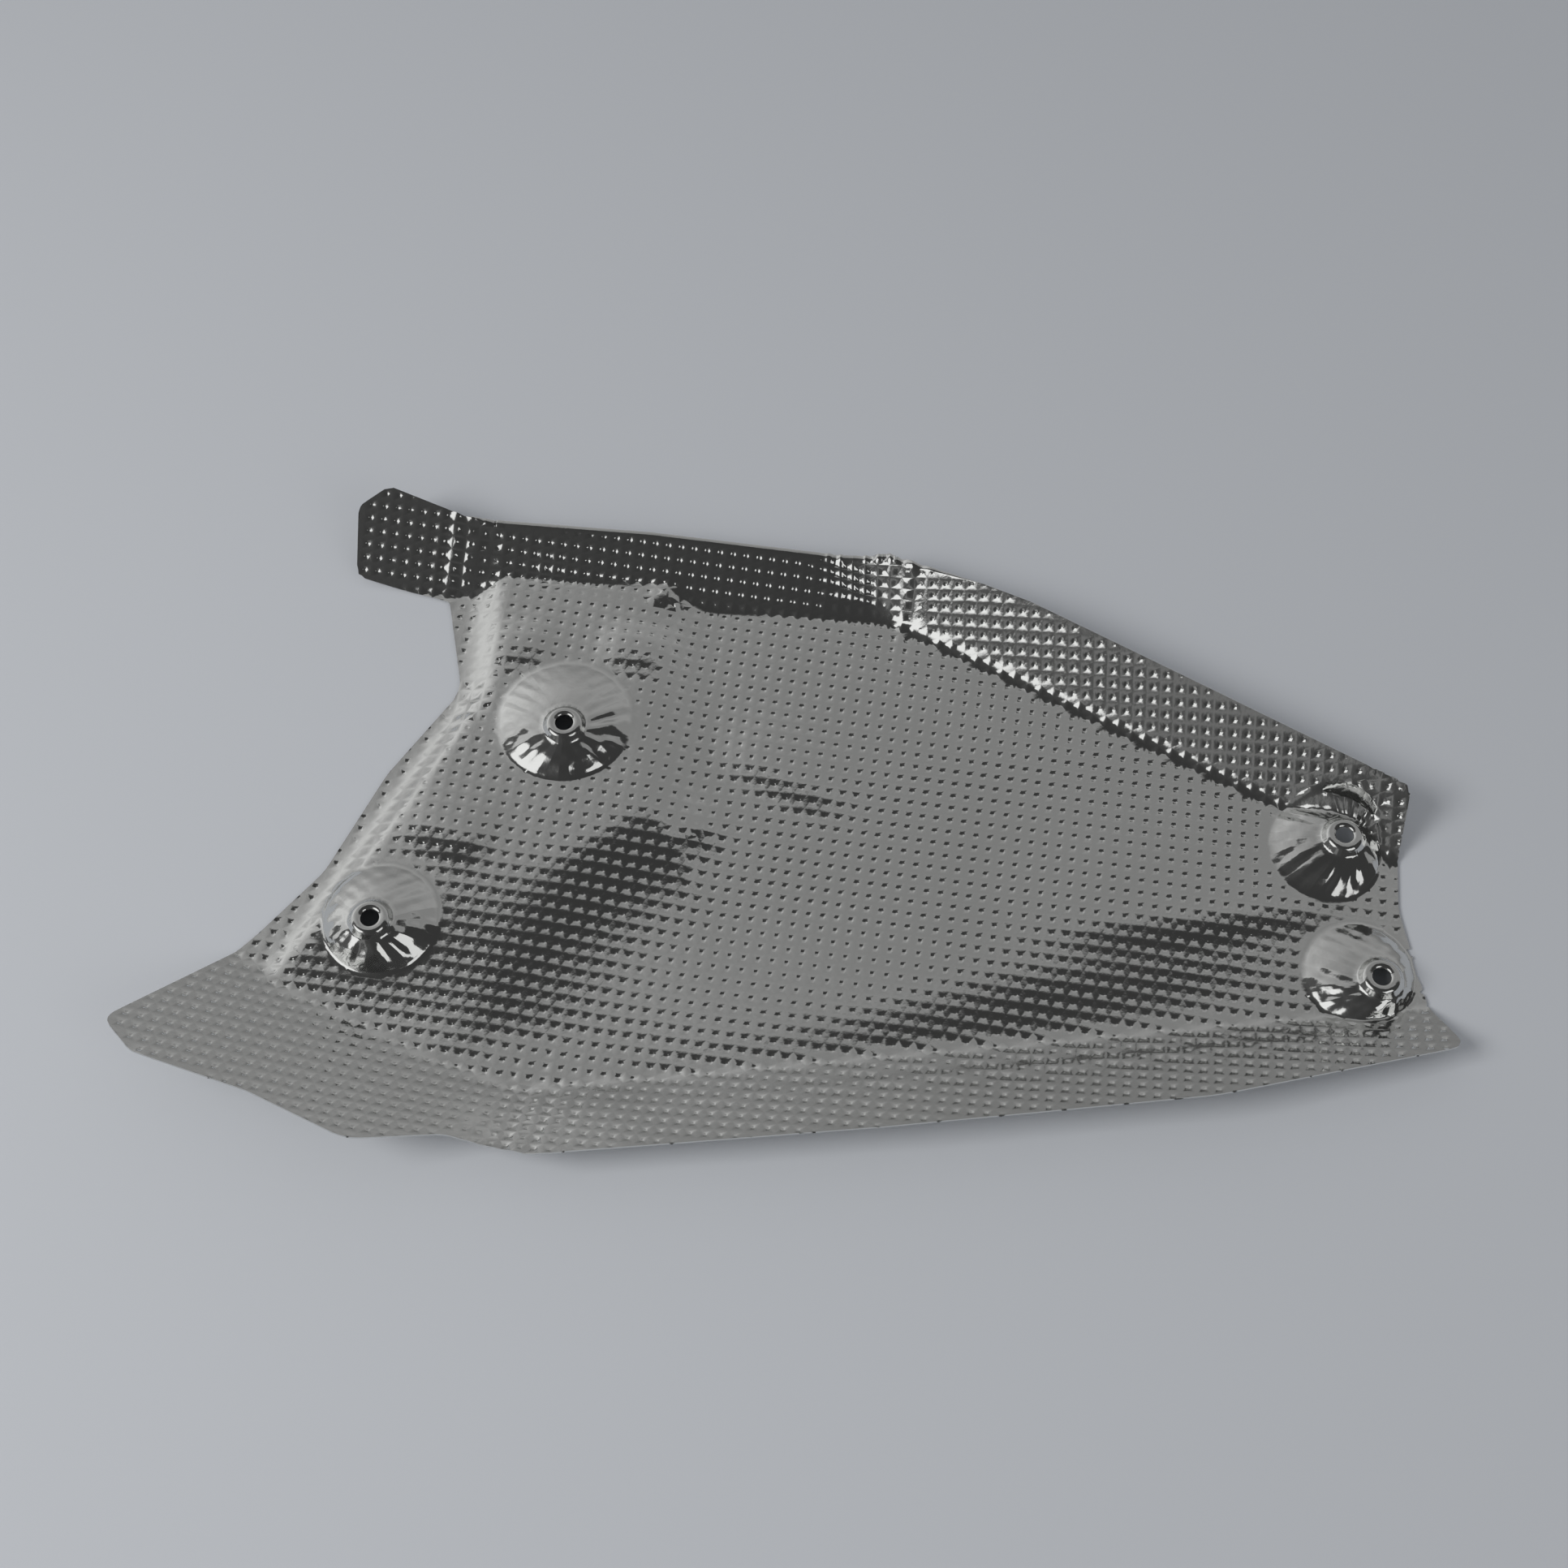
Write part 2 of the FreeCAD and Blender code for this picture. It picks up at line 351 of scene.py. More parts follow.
@dataclass
class Deck:
    """Raised left part of the floor, with a long slope on its right and a short roll on its left."""

    rise: float = 4.0
    slope_run: float = 13.0
    facet_start: Point = (-39.0, 15.0)
    facet_top: float = 5.45
    facet_fall: Tuple[float, float] = (0.132, 0.076)
    facet_lean: float = 0.085
    facet_length: float = 79.0
    sag: float = 2.7
    sag_from: float = -8.0
    sag_to: float = -68.0
    edge_run: float = 8.0
    right_x: float = -39.5
    nose_y: float = 10.5
    heel: Point = (-170.5, -108.5)
    waist: Point = (-88.5, 42.0)
    left_x: float = -87.0
    edge_round: float = 1.6
    crease_round: float = 0.5
    far_y: float = 150.0
    heel_run_share: float = 0.87

    @staticmethod
    def _beyond(plan: Array, start: Point, end: Point) -> Array:
        """Distance of points to the right of a directed line.

        Args:
            plan: Points in plan, one row each.
            start: First point of the line.
            end: Second point of the line.

        Returns:
            Signed distances, positive on the right.
        """
        line = np.array(end) - np.array(start)
        normal = np.array([line[1], -line[0]]) / np.linalg.norm(line)
        return (plan - np.array(start)) @ normal

    def _ramp(self, plan: Array, start: Point, end: Point, run: float) -> Array:
        """Height of one sloped side that falls away to the right of a directed line.

        Args:
            plan: Points in plan, one row each.
            start: First point of the upper edge.
            end: Second point of the upper edge.
            run: Plan width of the slope.

        Returns:
            Heights, not limited to the deck.
        """
        return self.rise * (1.0 - self._beyond(plan, start, end) / run)

    def _facet(self, plan: Array) -> Array:
        """Height of the wide facet in front of the nose, steep at its top and gentle at its foot.

        Args:
            plan: Points in plan, one row each.

        Returns:
            Heights, not limited to the deck.
        """
        offset = plan - np.array(self.facet_start)
        ahead = -offset[:, 1]
        steep, gentle = self.facet_fall
        fall = ahead * (steep - 0.5 * (steep - gentle) * ahead / self.facet_length)
        return self.facet_top - self.facet_lean * offset[:, 0] - fall

    def sagged(self, plan: Array) -> Array:
        """Height of the deck's top, which sinks towards the flap.

        Args:
            plan: Points in plan, one row each.

        Returns:
            Heights over the floor.
        """
        part = (self.sag_from - plan[:, 1]) / (self.sag_from - self.sag_to)
        return self.rise - self.sag * soft_step(part)

    def height(self, plan: Array) -> Array:
        """Height of the deck over the floor.

        Args:
            plan: Points in plan, one row each.

        Returns:
            Heights from zero to the deck's rise.
        """
        nose = (self.right_x, self.nose_y)
        right = self._ramp(plan, nose, (self.right_x, self.far_y), self.slope_run)
        front = self._facet(plan)
        upper_left = self._ramp(plan, (self.left_x, self.far_y), self.waist, self.edge_run)
        lower_left = self._ramp(plan, self.waist, self.heel, self.edge_run * self.heel_run_share)
        outer = smooth_max(upper_left, lower_left, self.edge_round)
        deck = -smooth_max(-right, -self.sagged(plan), self.edge_round)
        deck = -smooth_max(-deck, -outer, self.crease_round)
        deck = -smooth_max(-deck, -front, self.crease_round)
        return smooth_max(deck, np.zeros(len(plan)), self.edge_round)


@dataclass
class PressForm:
    """Shape that the flat sheet is pressed to."""

    level: float = 0.9
    flanges: Tuple[Flange, ...] = (
        Flange("wall", (-1.5, 71.0), -4.2, 35.0, 3.5),
        Flange("shoulder", (86.5, 36.5), -29.8, 50.0, 4.0),
        Flange("front", (39.5, -72.5), 185.7, 30.0),
        Flange("flap", (-81.5, -79.5), 153.0, 28.0),
    )
    deck: Deck = field(default_factory=Deck)
    wrinkles: Tuple[Wrinkle, ...] = (
        Wrinkle((36.5, 75.0), 80.0, 6.5, 0.6, 13.0, 5.0, 1.0),
        Wrinkle((-74.6, 82.0), 84.0, 4.0, 0.35, 6.0, 6.0),
        Wrinkle((-68.0, -95.0), 75.0, 7.0, 0.45, 14.0, 13.0, 0.6),
        Wrinkle((-101.5, 88.0), 82.0, 5.0, 0.5, 14.0, 4.5),
        Wrinkle((-94.0, 36.0), 3.0, 5.0, 0.35, 7.0, 9.0),
        Wrinkle((60.0, -78.0), 186.0, 5.0, 0.18, 90.0, 6.0),
    )
    steps: Tuple[Step, ...] = (
        Step((116.0, -36.0), 6.0, 0.75, 6.0, 42.0, 45.0),
        Step((74.0, -57.0), 13.0, 1.3, 13.0, 66.0, 60.0),
        Step((-4.0, 10.0), -30.0, 0.9, 6.0, 18.0, 22.0),
        Step((-79.6, 52.0), 12.0, 1.1, 6.0, 9.0, 12.0),
        Step((-47.0, 50.5), -12.0, 1.2, 6.0, 10.0, 12.0),
        Step((-101.0, -10.0), -25.0, 1.0, 6.0, 12.0, 18.0),
        Step((-64.0, -77.0), 174.0, 1.2, 11.0, 26.0, 22.0),
        Step((5.0, -46.0), 180.0, 1.3, 26.0, 46.0, 40.0),
    )
    swellings: Tuple[Swelling, ...] = (
        Swelling((-37.3, 76.5), 1.7, 3.6, 3.4, flattens=True),
        Swelling((-26.5, -2.0), 1.0, 6.0, 8.0),
        Swelling((60.0, 30.0), 0.5, 70.0, 30.0),
    )
    crumples: Tuple[Crumple, ...] = (
        Crumple((-92.5, 91.0), 0.45, 4.5, 8.0),
        Crumple((-37.3, 73.0), 0.5, 7.0, 4.0),
        Crumple((169.0, 2.0), 0.4, 9.0, 7.0),
        Crumple((-27.0, -6.0), 0.22, 7.0, 6.0),
        Crumple((33.0, 81.0), 0.3, 5.0, 4.0),
        Crumple((-96.0, 72.0), 0.3, 6.0, 4.0),
        Crumple((-80.0, -97.0), 0.2, 10.0, 6.0),
    )
    gather_centre: float = 20.0
    gather_width: float = 9.0
    gather_height: float = 0.5
    gather_foot: float = 1.0
    gather_climb: float = 6.0
    settle_rounds: int = 12
    lattice: Lattice = field(default_factory=Lattice)
    lowest: float = 0.78
    highest: float = 23.3

    def flange(self, name: str) -> Flange:
        """The flange that has a name."""
        return next(flange for flange in self.flanges if flange.name == name)

    def height(self, plan: Array) -> Array:
        """Height of the sheet's upper face, bosses and dents left out.

        Args:
            plan: Points in plan, one row each.

        Returns:
            Heights above the table.
        """
        surface = self.deck.height(plan)
        for flange in self.flanges:
            surface = smooth_max(surface, flange.rise(plan), flange.blend)
        for mark in self.wrinkles + self.steps + self.swellings + self.crumples:
            surface = surface + mark.lift(plan)
        surface = surface + self._gather(plan) + self.level
        return np.clip(surface, self.lowest, self.highest)

    def _gather(self, plan: Array) -> Array:
        """Height of the ridges that run up the wall between the columns of dents beside the crest.

        Args:
            plan: Points in plan, one row each.

        Returns:
            Heights in millimetres.
        """
        column = self.lattice.cell(self.to_flat(plan))[:, 0]
        reach = self.flange("wall").reach(plan)
        climb = np.clip((reach - self.gather_foot) / self.gather_climb, 0.0, 1.0)
        fade = np.exp(-(((plan[:, 0] - self.gather_centre) / self.gather_width) ** 4))
        return self.gather_height * np.cos(2.0 * math.pi * column) * climb * fade

    def to_flat(self, plan: Array) -> Array:
        """Find where points in plan lie on the flat sheet before pressing.

        Args:
            plan: Points in plan, one row each.

        Returns:
            Points on the flat sheet.
        """
        flat = plan.copy()
        for flange in self.flanges:
            flat = flat + (np.maximum(flange.reach(plan), 0.0) * flange.stretch)[:, None] * flange.outward
        return flat

    def to_plan(self, flat: Array) -> Array:
        """Find where points of the flat sheet end up in plan after pressing.

        Args:
            flat: Points on the flat sheet, one row each.

        Returns:
            Points in plan.
        """
        plan = flat.copy()
        for _ in range(self.settle_rounds):
            shift = np.zeros_like(plan)
            slope = np.tile(np.eye(2), (len(plan), 1, 1))
            for flange in self.flanges:
                reach = flange.reach(plan)
                over = reach > 0.0
                shift += np.where(over, reach * flange.stretch, 0.0)[:, None] * flange.outward
                pull = np.outer(flange.outward, flange.outward)
                slope += np.where(over, flange.stretch, 0.0)[:, None, None] * pull
            step = np.linalg.solve(slope, (plan + shift - flat)[:, :, None])[:, :, 0]
            plan = plan - step
        return plan


@dataclass(frozen=True)
class Corner:
    """One corner of the trimmed outline and the radius it is rounded with."""

    x: float
    y: float
    radius: float


@dataclass
class Outline:
    """Trimmed edge of the sheet in plan, clockwise from the top of the tab."""

    corners: Tuple[Corner, ...] = (
        Corner(-122.5, 106.5, 4.0),
        Corner(-99.5, 98.5, 6.0),
        Corner(-42.5, 93.5, 40.0),
        Corner(30.5, 84.5, 12.0),
        Corner(71.5, 63.5, 25.0),
        Corner(176.5, 1.5, 4.0),
        Corner(172.5, -29.5, 20.0),
        Corner(176.5, -59.5, 12.0),
        Corner(182.5, -74.5, 4.5),
        Corner(112.5, -90.5, 40.0),
        Corner(24.5, -99.5, 60.0),
        Corner(-67.5, -106.5, 8.0),
        Corner(-90.5, -100.5, 12.0),
        Corner(-114.5, -104.5, 14.0),
        Corner(-141.5, -91.5, 20.0),
        Corner(-172.5, -81.5, 6.0),
        Corner(-182.5, -70.5, 4.5),
        Corner(-149.5, -36.5, 20.0),
        Corner(-133.0, -17.0, 20.0),
        Corner(-118.0, 15.0, 30.0),
        Corner(-98.5, 43.5, 12.0),
        Corner(-104.5, 75.5, 2.0),
        Corner(-133.5, 83.5, 3.5),
        Corner(-132.5, 101.5, 4.0),
    )
    arc_steps: int = 6
    arc_room: float = 0.48
    no_length: float = 1e-12

    def polyline(self) -> Array:
        """Points of the rounded outline.

        Returns:
            One row for each point of the closed line.
        """
        points: List[Array] = []
        count = len(self.corners)
        for index, corner in enumerate(self.corners):
            here = np.array([corner.x, corner.y])
            before = self.corners[index - 1]
            after = self.corners[(index + 1) % count]
            back = np.array([before.x, before.y]) - here
            ahead = np.array([after.x, after.y]) - here
            room = self.arc_room * min(np.linalg.norm(back), np.linalg.norm(ahead))
            back = back / np.linalg.norm(back)
            ahead = ahead / np.linalg.norm(ahead)
            half = 0.5 * math.acos(float(np.clip(back @ ahead, -1.0, 1.0)))
            cut = min(corner.radius / math.tan(half), room)
            for step in range(self.arc_steps + 1):
                part = step / self.arc_steps
                entry = here + back * cut * (1.0 - part)
                leave = here + ahead * cut * part
                points.append(entry * (1.0 - part) + leave * part)
        return np.array(points)

    def inside(self, plan: Array) -> Array:
        """Signed distance of points to the edge.

        Args:
            plan: Points in plan, one row each.

        Returns:
            Distances, positive inside the outline.
        """
        line = self.polyline()
        ahead = np.roll(line, -1, axis=0)
        best = np.full(len(plan), np.inf)
        odd = np.zeros(len(plan), dtype=bool)
        for start, end in zip(line, ahead):
            edge = end - start
            length = float(edge @ edge)
            if length < self.no_length:
                continue
            offset = plan - start
            part = np.clip((offset @ edge) / length, 0.0, 1.0)
            gap = offset - part[:, None] * edge
            best = np.minimum(best, np.einsum("ij,ij->i", gap, gap))
            crosses = (start[1] > plan[:, 1]) != (end[1] > plan[:, 1])
            if abs(edge[1]) > self.no_length:
                meet = start[0] + (plan[:, 1] - start[1]) * edge[0] / edge[1]
                odd ^= crosses & (plan[:, 0] < meet)
        return np.where(odd, 1.0, -1.0) * np.sqrt(best)


@dataclass(frozen=True)
class BrightAluminium:
    """Finish of the sheet: bright rolled foil with handling haze and a fine crinkle."""

    name: str = "bright_aluminium"
    slot: str = "sheet"
    colour: Tuple[float, float, float, float] = (0.74, 0.745, 0.735, 1.0)
    haze_colour: Tuple[float, float, float, float] = (0.66, 0.665, 0.65, 1.0)
    haze_scale: float = 28.0
    haze_detail: float = 5.0
    haze_span: Point = (0.3, 0.7)
    roughness: Point = (0.06, 0.13)
    crinkle_scale: float = 420.0
    crinkle_detail: float = 4.0
    crinkle_strength: float = 0.10
    crinkle_height: float = 0.0006

    def build(self) -> bpy.types.Material:
        """Make the material.

        Returns:
            The finished material.
        """
        material = bpy.data.materials.new(self.name)
        material.use_nodes = True
        tree = material.node_tree
        links = tree.links
        shader = tree.nodes["Principled BSDF"]
        shader.inputs["Metallic"].default_value = 1.0
        haze = self._noise(tree, self.haze_scale, self.haze_detail)
        tint = tree.nodes.new("ShaderNodeMix")
        tint.data_type = "RGBA"
        tint.inputs["A"].default_value = self.colour
        tint.inputs["B"].default_value = self.haze_colour
        links.new(haze, tint.inputs["Factor"])
        links.new(tint.outputs["Result"], shader.inputs["Base Color"])
        gloss = map_range(tree, haze, self.haze_span, self.roughness, Change.EVEN)
        links.new(gloss, shader.inputs["Roughness"])
        bump = tree.nodes.new("ShaderNodeBump")
        bump.inputs["Strength"].default_value = self.crinkle_strength
        bump.inputs["Distance"].default_value = self.crinkle_height
        links.new(self._noise(tree, self.crinkle_scale, self.crinkle_detail), bump.inputs["Height"])
        links.new(bump.outputs["Normal"], shader.inputs["Normal"])
        return material

    @staticmethod
    def _noise(tree: bpy.types.NodeTree, scale: float, detail: float) -> bpy.types.NodeSocket:
        """Add a noise that keeps its place on the sheet.

        Args:
            tree: The material's nodes.
            scale: Size of the pattern.
            detail: Number of finer layers.

        Returns:
            The socket that holds the noise.
        """
        place = tree.nodes.new("ShaderNodeTexCoord")
        noise = tree.nodes.new("ShaderNodeTexNoise")
        noise.inputs["Scale"].default_value = scale
        noise.inputs["Detail"].default_value = detail
        tree.links.new(place.outputs["Object"], noise.inputs["Vector"])
        return noise.outputs["Fac"]


@dataclass
class SheetMesh:
    """Points and faces of the sheet's upper face while it is being made."""

    plan: List[Array] = field(default_factory=list)
    heights: List[float] = field(default_factory=list)
    dents: List[float] = field(default_factory=list)
    faces: List[Tuple[int, ...]] = field(default_factory=list)

    def add(self, point: Array, height: float, dent: float = 0.0) -> int:
        """Add one point.

        Args:
            point: Place in plan.
            height: Height above the table.
            dent: Share of the dent depth at this point.

        Returns:
            The number of the new point.
        """
        self.plan.append(point)
        self.heights.append(height)
        self.dents.append(dent)
        return len(self.plan) - 1


@dataclass(frozen=True)
class DentFade:
    """How far pressing flattens the dents at bosses, marks, folds, the crest and the deck's rolled edge."""

    boss_least: float = 0.3
    boss_run: float = 6.0
    mark_least: float = 0.15
    shallow_centre: Point = (0.0, -56.0)
    shallow_size: Point = (58.0, 24.0)
    shallow_share: float = 0.55
    fold_least: float = 0.3
    fold_run: float = 3.0
    fold_past: float = 1.0
    crest_x: float = 25.0
    crest_half: float = 11.0
    crest_run: float = 6.0
    crest_least: float = 0.08
    roll_start: float = 0.5
    roll_past: float = 1.5
    roll_rows: Point = (-40.0, 73.0)
    roll_share: float = 0.1

    def share(self, plan: Array, form: PressForm, bosses: Sequence[Boss]) -> Array:
        """Share of the dent depth that is left after pressing.

        Args:
            plan: Points in plan, one row each.
            form: The shape that the sheet is pressed to.
            bosses: The bosses that are set into it.

        Returns:
            Shares from zero to one.
        """
        share = np.ones(len(plan))
        for boss in bosses:
            gap = np.linalg.norm(plan - np.array(boss.skirt), axis=1) - boss.skirt_radius
            share *= np.clip(self.boss_least + gap / self.boss_run, self.boss_least, 1.0)
        flattened = tuple(swelling for swelling in form.swellings if swelling.flattens)
        for mark in flattened + form.crumples:
            offset = spread(plan, mark.centre, mark.wide, mark.deep)
            share *= np.clip(np.linalg.norm(offset, axis=1), self.mark_least, 1.0)
        offset = spread(plan, self.shallow_centre, *self.shallow_size)
        depth = np.clip(np.linalg.norm(offset, axis=1), 0.0, 1.0) ** 2
        share *= self.shallow_share + (1.0 - self.shallow_share) * depth
        wall = form.flange("wall")
        shoulder = form.flange("shoulder")
        for flange, other in ((wall, shoulder), (shoulder, wall)):
            near = np.clip(np.abs(flange.reach(plan)) / self.fold_run, self.fold_least, 1.0)
            share *= np.where(other.reach(plan) < self.fold_past, near, 1.0)
        crest = (np.abs(plan[:, 0] - self.crest_x) - self.crest_half) / self.crest_run
        crest = np.clip(crest, self.crest_least, 1.0)
        share = np.where(wall.reach(plan) > 0.0, share * crest, share)
        return np.where(self._on_roll(plan, form.deck), self.roll_share, share)

    def _on_roll(self, plan: Array, deck: Deck) -> Array:
        """Find the points on the deck's rolled left edge.

        Args:
            plan: Points in plan, one row each.
            deck: The raised deck.

        Returns:
            True for each point on the roll.
        """
        lean = (deck.waist[0] - deck.heel[0]) / (deck.waist[1] - deck.heel[1])
        slanted = deck.waist[0] + (plan[:, 1] - deck.waist[1]) * lean
        beyond = np.where(plan[:, 1] > deck.waist[1], deck.left_x, slanted) - plan[:, 0]
        low, high = self.roll_rows
        beside = (plan[:, 1] > low) & (plan[:, 1] < high)
        return beside & (beyond > self.roll_start) & (beyond < deck.edge_run + self.roll_past)


@dataclass(frozen=True)
class Hem:
    """Narrow hem that the wall's upper edge is rolled back into."""

    width: float = 2.2
    start_x: float = -99.0
    end_x: float = 58.0
    start_run: float = 8.0
    end_run: float = 24.0
    low_y: float = 58.0
    least: float = 0.15
    parts: Tuple[float, ...] = (0.2, 0.42, 0.62, 0.82, 1.0)
    droop: float = 0.72

    def width_at(self, plan: Array) -> Array:
        """Width of the hem at points in plan.

        Args:
            plan: Points in plan, one row each.

        Returns:
            Widths in millimetres, zero away from the wall.
        """
        rise = np.clip((plan[:, 0] - self.start_x) / self.start_run, 0.0, 1.0)
        fall = np.clip((self.end_x - plan[:, 0]) / self.end_run, 0.0, 1.0)
        return np.where(plan[:, 1] > self.low_y, self.width * rise * fall, 0.0)


@dataclass(frozen=True)
class BossShape:
    """Sizes that all bosses share, with the creases and waves of their skirts."""

    skirt_rise: float = 5.0
    skirt_parts: Tuple[float, ...] = (0.04, 0.1, 0.2, 0.32, 0.46, 0.6, 0.75, 0.9)
    skirt_straight: float = 0.4
    skirt_lap: float = 0.3
    neck_radius: float = 6.5
    neck_top_radius: float = 5.0
    neck_rise: float = 2.5
    hole_radius: float = 2.5
    crease_depth: float = 0.5
    crease_width: float = 0.13
    bank_width: float = 0.34
    bank_share: float = 0.4
    rumple: float = 0.16
    rumple_waves: Tuple[Tuple[float, float, float], ...] = ((0.9, 1.3, 0.0), (-0.8, 1.2, 2.0))

    def rings(self, skirt_radius: float) -> List[Tuple[float, float, float]]:
        """List the rings of a boss from its skirt to its hole.

        Args:
            skirt_radius: Radius of the boss's skirt.

        Returns:
            For each ring, its share of the way to the neck, its radius and its rise.
        """
        rim = skirt_radius + self.skirt_lap
        rings: List[Tuple[float, float, float]] = []
        for part in self.skirt_parts:
            dome = (1.0 - self.skirt_straight) * math.sin(part * math.pi / 2.0)
            rise = self.skirt_rise * (self.skirt_straight * part + dome)
            rings.append((part, rim + (self.neck_radius - rim) * part, rise))
        top = self.skirt_rise + self.neck_rise
        for radius, rise in (
            (self.neck_radius + 0.1, self.skirt_rise),
            (self.neck_radius - 0.45, self.skirt_rise + 0.5),
            (self.neck_top_radius + 0.35, top - 0.75),
            (self.neck_top_radius - 0.15, top - 0.18),
            (self.neck_top_radius - 0.8, top),
            (self.hole_radius + 0.75, top - 0.05),
            (self.hole_radius + 0.2, top - 0.25),
            (self.hole_radius, top - 0.6),
        ):
            rings.append((1.0, radius, rise))
        return rings

    def rumpled(self, part: float, plan: Array, angles: Array, creases: Sequence[float]) -> Array:
        """Height that creases and waves add to one ring of a skirt.

        Args:
            part: The ring's share of the way to the neck.
            plan: The ring's points in plan.
            angles: Their directions from the skirt's centre.
            creases: Directions of the creases.

        Returns:
            Heights in millimetres.
        """
        swell = math.sin(math.pi * part)
        lift = np.zeros(len(plan))
        for crease in creases:
            turn = np.arctan2(np.sin(angles - crease), np.cos(angles - crease))
            bank = self.bank_share * np.exp(-((turn / self.bank_width) ** 2))
            lift += self.crease_depth * swell * (bank - np.exp(-((turn / self.crease_width) ** 2)))
        for across, along, phase in self.rumple_waves:
            lift += self.rumple * swell * np.sin(plan @ np.array([across, along]) + phase)
        return lift


@dataclass
class HeatShield:
    """The whole shield: one embossed sheet, pressed, trimmed and pierced."""

    form: PressForm = field(default_factory=PressForm)
    outline: Outline = field(default_factory=Outline)
    finish: BrightAluminium = field(default_factory=BrightAluminium)
    dent_fade: DentFade = field(default_factory=DentFade)
    hem: Hem = field(default_factory=Hem)
    boss_shape: BossShape = field(default_factory=BossShape)
    gauge: float = 0.4
    kept_faces: float = 0.78
    margin: float = 0.4
    edge_fade: float = 1.5
    apron: float = 0.8
    flange_room: float = 6.0
    flange_blend: float = 0.5
    seam_part: float = 0.1
    sharp_angle: float = 60.0
    land_weight: int = 50
    bosses: Tuple[Boss, ...] = (
        Boss("deck_boss", (-66.0, 31.0), 20.0, (-65.5, 26.0), Level.DECK, (-0.75, -0.35, 0.1, -1.3)),
        Boss("heel_boss", (-114.5, -33.5), 16.5, (-116.0, -37.0), Level.DECK, (-1.2, -0.7, -1.9, -2.5)),
        Boss("shoulder_boss", (153.0, -10.5), 16.5, (158.0, -9.0), Level.FLOOR, (-1.1, -1.45, -1.75, 0.6)),
        Boss("corner_boss", (158.0, -49.0), 15.5, (162.5, -53.0), Level.FLOOR, (-2.6, -2.2, -1.2)),
    )

    @property
    def lattice(self) -> Lattice:
        """Lattice of the sheet, which the press form gathers along."""
        return self.form.lattice

    def build(self) -> bpy.types.Object:
        """Make the shield as one closed mesh.

        Returns:
            The finished object, in metres.
        """
        upper = self._to_object(self._trimmed_lattice())
        self._emboss(upper)
        self._thicken(upper)
        return upper

    def dress(self, piece: bpy.types.Object) -> None:
        """Tie the piece to the frame and hide the imported part that it stands in for.

        Args:
            piece: The finished shield.
        """
        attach(piece, "root")
        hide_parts("heat_shield")

    def _trimmed_lattice(self) -> SheetMesh:
        """Lay out the lattice, trim it to the outline and set the bosses in.

        Returns:
            The upper face of the sheet.
        """
        points, faces, dents = self._cells()
        flat = self.lattice.place(points)
        plan = self.form.to_plan(flat)
        edge = self.outline.inside(plan) - self.margin
        hem = self.hem.width_at(plan)
        keep = edge - hem
        owner = np.where(hem > self.hem.least, len(self.bosses), -1)
        for number, boss in enumerate(self.bosses):
            gap = np.linalg.norm(plan - np.array(boss.skirt), axis=1) - boss.skirt_radius - self.apron
            nearer = gap < keep
            keep = np.where(nearer, gap, keep)
            owner = np.where(nearer, number, owner)
        share = dents * self.dent_fade.share(plan, self.form, self.bosses)
        share *= np.clip(edge / self.edge_fade, 0.0, 1.0)
        height = self.form.height(plan)
        sheet = SheetMesh()
        used: Dict[int, int] = {}
        cuts: Dict[Tuple[int, int], int] = {}
        rings: List[List[int]] = [[] for _ in range(len(self.bosses) + 1)]

        def old(index: int) -> int:
            """Keep a lattice point.

            Args:
                index: The point's number in the lattice.

            Returns:
                Its number in the sheet.
            """
            if index not in used:
                used[index] = sheet.add(plan[index], float(height[index]), float(share[index]))
            return used[index]

        def cut(first: int, second: int) -> int:
            """Cut the line between two lattice points where it meets the trim.

            Args:
                first: A point's number in the lattice.
                second: The other point's number.

            Returns:
                The cut's number in the sheet.
            """
            key = (min(first, second), max(first, second))
            if key not in cuts:
                low, high = key
                part = keep[low] / (keep[low] - keep[high])
                place = plan[low] * (1.0 - part) + plan[high] * part
                outside = low if keep[low] <= 0.0 else high
                boss = int(owner[outside])
                if 0 <= boss < len(self.bosses):
                    centre = np.array(self.bosses[boss].skirt)
                    arm = place - centre
                    place = centre + arm * (self.bosses[boss].skirt_radius + self.apron) / np.linalg.norm(arm)
                number = sheet.add(place, float(self.form.height(place[None])[0]))
                cuts[key] = number
                if boss >= 0:
                    rings[boss].append(number)
            return cuts[key]

        for face in faces:
            inside = [keep[index] > 0.0 for index in face]
            if all(inside):
                sheet.faces.append(tuple(old(index) for index in face))
            elif any(inside):
                loop: List[int] = []
                for here, ahead, held, next_held in zip(
                    face, face[1:] + face[:1], inside, inside[1:] + inside[:1]
                ):
                    if held:
                        loop.append(old(here))
                    if held != next_held:
                        loop.append(cut(here, ahead))
                if len(set(loop)) > 2:
                    sheet.faces.append(tuple(loop))
        for boss, ring in zip(self.bosses, rings):
            self._set_boss(sheet, boss, ring)
            LOG.info("%s: %d points round its skirt", boss.name, len(ring))
        self._roll_hem(sheet, rings[-1])
        return sheet

